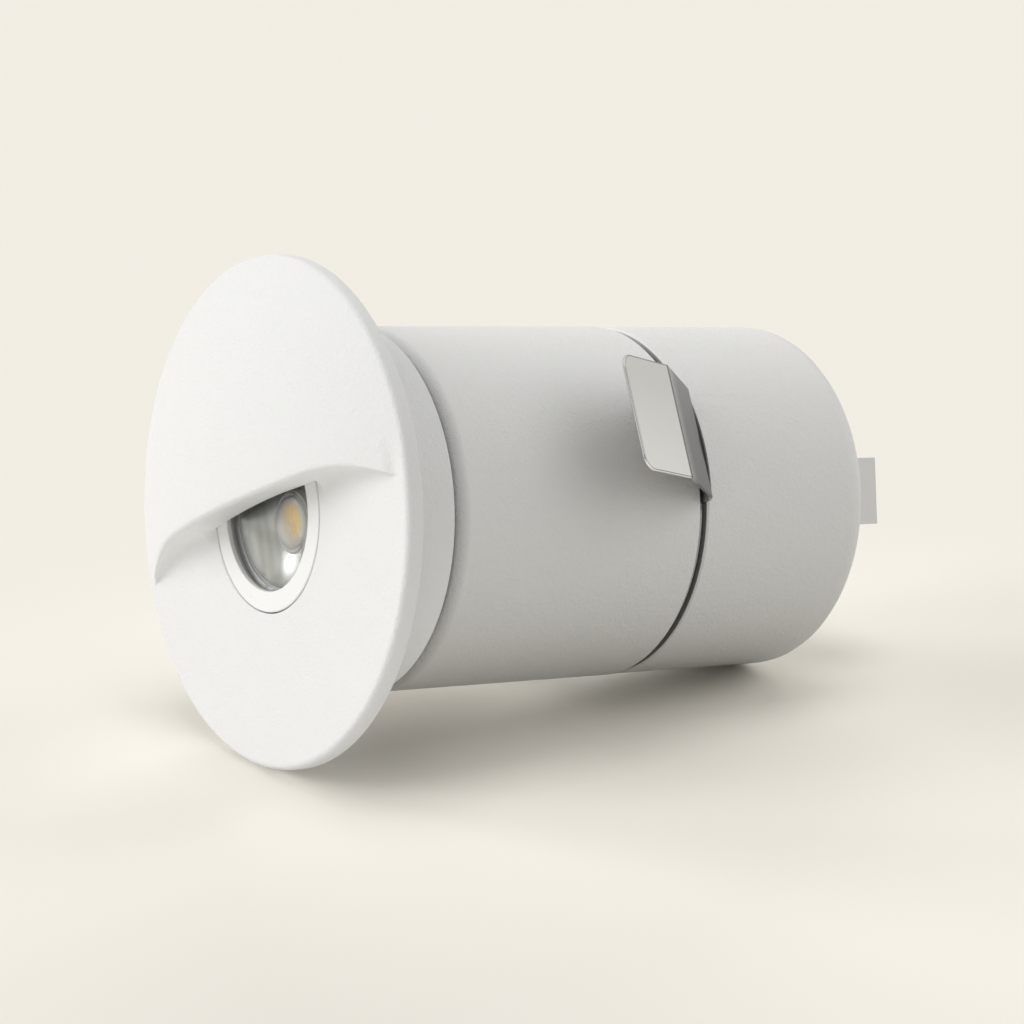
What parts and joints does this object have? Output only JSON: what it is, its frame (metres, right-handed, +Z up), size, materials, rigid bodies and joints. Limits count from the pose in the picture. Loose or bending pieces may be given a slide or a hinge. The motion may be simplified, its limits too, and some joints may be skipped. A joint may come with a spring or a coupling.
{
  "type": "recessed step light",
  "caption": "Round recessed step light with an eyelid hood over a small reflector lamp, a cylindrical driver housing, spring clips and a rear wire terminal.",
  "frame": {"origin": "on the lamp's axis, in the plane of the flange's back face, which is the wall plane", "axes": "+Y along the lamp's axis into the wall, away from the eyelid face; +Z up, towards the hood's side; +X to the right seen from the front"},
  "size_m": [0.0942, 0.1222, 0.08],
  "materials": {
    "powder_white": "fine textured white powder coat",
    "powder_body": "fine textured white powder coat",
    "satin_white": "smooth satin white",
    "seal_grey": "matte grey silicone rubber",
    "seal_black": "matte black rubber",
    "pad_grey": "soft heat conducting pad",
    "clear_cover": "clear hard cover",
    "clear_lens": "clear silicone dome",
    "reflector_chrome": "bright metallised bowl",
    "phosphor": "yellow phosphor",
    "board_white": "white solder mask on an aluminium board",
    "bare_aluminium": "cast and milled, bare",
    "screw_steel": "zinc plated steel",
    "spring_steel": "polished stainless spring steel",
    "sleeve_plastic": "white insulating plastic",
    "board_green": "green circuit board",
    "ferrite": "dark ferrite",
    "winding_tape": "yellow winding tape",
    "can_sleeve": "dark plastic sleeve",
    "film_case": "yellow moulded case",
    "choke_sleeve": "ferrite drum with a black sleeve",
    "fuse_glass": "glass tube",
    "chip_black": "black moulded chip",
    "wire_sleeve": "insulated wire",
    "block_plastic": "light grey moulded plastic",
    "contact_brass": "brass"
  },
  "bodies": {
    "lamp": {"bezel": "powder_white", "wall_gasket": "seal_grey", "trim_ring": "satin_white", "window_gasket": "seal_grey", "window": "clear_cover", "reflector": "reflector_chrome", "led_lens": "clear_lens", "led_emitter": "phosphor", "led_board": "board_white", "thermal_pad": "pad_grey", "heat_sink": "bare_aluminium", "heat_sink_screws": "screw_steel", "collar_gasket": "seal_grey", "front_tube": "powder_body", "cap_seal": "seal_black", "rear_cap": "powder_body", "clip_ring": "spring_steel", "driver_sleeve": "sleeve_plastic", "driver_board": "board_green", "transformer_core": "ferrite", "transformer_winding": "winding_tape", "electrolytic_capacitors": "can_sleeve", "film_capacitor": "film_case", "choke": "choke_sleeve", "fuse": "fuse_glass", "driver_chips": "chip_black", "led_leads": "wire_sleeve", "mains_leads": "wire_sleeve", "terminal_gasket": "seal_grey", "terminal_block": "block_plastic", "terminal_contacts": "contact_brass", "terminal_screws": "screw_steel"},
    "right_clip": {"clip_right": "spring_steel"},
    "left_clip": {"clip_left": "spring_steel"}
  },
  "joints": [
    {"name": "clip_right_fold", "type": "hinge", "parent": "lamp", "child": "right_clip", "pos_m": [0.02951, 0.0608, 0.00232], "axis": [0.0785, 0, -0.9969], "range_deg": [0, 31], "stiffness_Nm_per_rad": 0.05},
    {"name": "clip_left_fold", "type": "hinge", "parent": "lamp", "child": "left_clip", "pos_m": [-0.02951, 0.0608, -0.00232], "axis": [-0.0785, 0, 0.9969], "range_deg": [0, 31], "stiffness_Nm_per_rad": 0.05}
  ]
}
